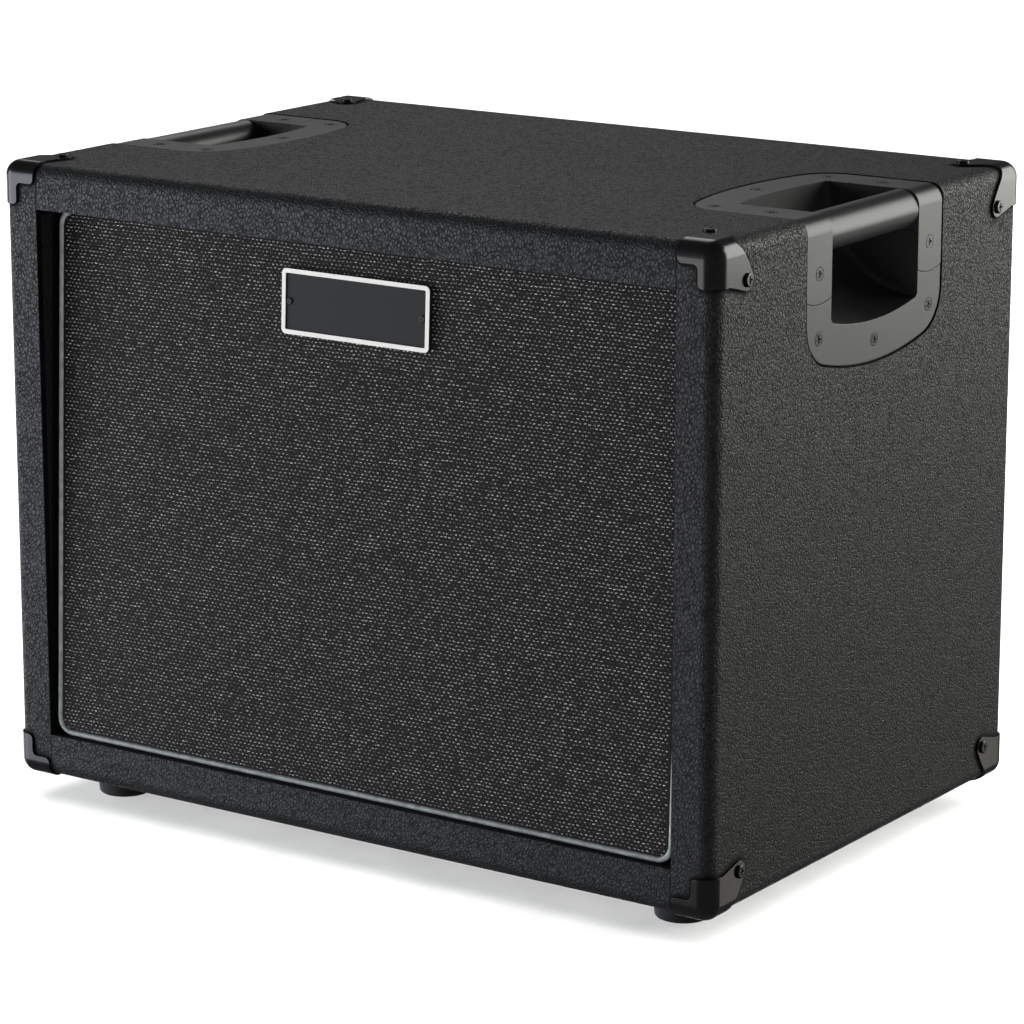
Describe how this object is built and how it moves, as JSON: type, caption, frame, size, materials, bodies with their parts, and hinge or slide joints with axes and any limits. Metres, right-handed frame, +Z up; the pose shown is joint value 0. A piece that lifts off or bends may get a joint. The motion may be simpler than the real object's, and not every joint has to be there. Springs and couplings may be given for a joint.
{
  "type": "guitar speaker cabinet",
  "caption": "Black vinyl covered guitar speaker cabinet with a slanted cloth grille, grey piping, metal corners, corner handles, rubber feet and a driver inside.",
  "frame": {"origin": "on the floor under the feet, at the centre of the footprint", "axes": "+X to the viewer's right along the width, +Y from the front to the back, +Z up"},
  "size_m": [0.486, 0.3296, 0.3825],
  "materials": {
    "plywood": "bare birch plywood, satin",
    "vinyl": "black pebbled vinyl covering, satin",
    "back_board": "board with black textured paint",
    "grille_cloth": "black woven grille cloth with pale flecks",
    "piping": "grey extruded vinyl piping",
    "badge": "dark grey field with a white raised border",
    "black_steel": "black lacquered steel",
    "handle_plastic": "satin black moulded plastic",
    "screw_steel": "black oxide steel screws",
    "rubber": "matt black rubber",
    "nickel": "nickel plated brass",
    "jack_body": "black nylon",
    "lead_red": "red insulated lead",
    "lead_black": "black insulated lead",
    "basket_steel": "grey enamelled pressed steel",
    "ferrite": "sintered ferrite magnet",
    "zinc_steel": "zinc plated steel",
    "paper_cone": "pressed black paper",
    "treated_cloth": "resin treated cloth",
    "gasket": "compressed paper gasket",
    "copper_coil": "copper winding on a former",
    "hook_and_loop": "black hook and loop tape",
    "terminal": "phenolic board with tinned tags"
  },
  "bodies": {
    "cabinet": {"back_battens": "plywood", "back_panel": "back_board", "back_panel_screws": "screw_steel", "badge_plate": "badge", "badge_screws": "screw_steel", "baffle": "plywood", "baffle_battens": "plywood", "baffle_screws": "screw_steel", "bottom_panel": "plywood", "corner_screws": "screw_steel", "foot_screws": "screw_steel", "front_bottom_left_corner": "black_steel", "front_bottom_right_corner": "black_steel", "front_bottom_trim": "plywood", "front_left_foot": "rubber", "front_left_trim": "plywood", "front_right_foot": "rubber", "front_right_trim": "plywood", "front_top_left_corner": "black_steel", "front_top_right_corner": "black_steel", "front_top_trim": "plywood", "grille_cloth": "grille_cloth", "grille_fastener_pads": "hook_and_loop", "grille_frame": "plywood", "grille_piping": "piping", "handle_screws": "screw_steel", "jack_contacts": "nickel", "jack_nut": "nickel", "jack_plate": "black_steel", "jack_plate_screws": "screw_steel", "jack_socket": "jack_body", "left_handle_cup": "handle_plastic", "left_handle_grip": "handle_plastic", "left_side_panel": "plywood", "magnet": "ferrite", "pole_piece": "zinc_steel", "rear_bottom_left_corner": "black_steel", "rear_bottom_right_corner": "black_steel", "rear_left_foot": "rubber", "rear_right_foot": "rubber", "rear_top_left_corner": "black_steel", "rear_top_right_corner": "black_steel", "right_handle_cup": "handle_plastic", "right_handle_grip": "handle_plastic", "right_side_panel": "plywood", "speaker_bolts": "zinc_steel", "speaker_frame": "basket_steel", "speaker_gasket": "gasket", "speaker_lead_black": "lead_black", "speaker_lead_red": "lead_red", "speaker_tee_nuts": "zinc_steel", "spider": "treated_cloth", "surround": "treated_cloth", "terminal_board": "terminal", "top_panel": "plywood", "top_plate": "zinc_steel", "vinyl_covering": "vinyl"},
    "cone_assembly": {"cone": "paper_cone", "dust_cap": "paper_cone", "voice_coil": "copper_coil"}
  },
  "joints": [
    {"name": "cone_travel", "type": "slide", "parent": "cabinet", "child": "cone_assembly", "axis": [0, -0.999, 0.0436], "range_m": [-0.003, 0.003], "stiffness_N_per_m": 4000}
  ]
}
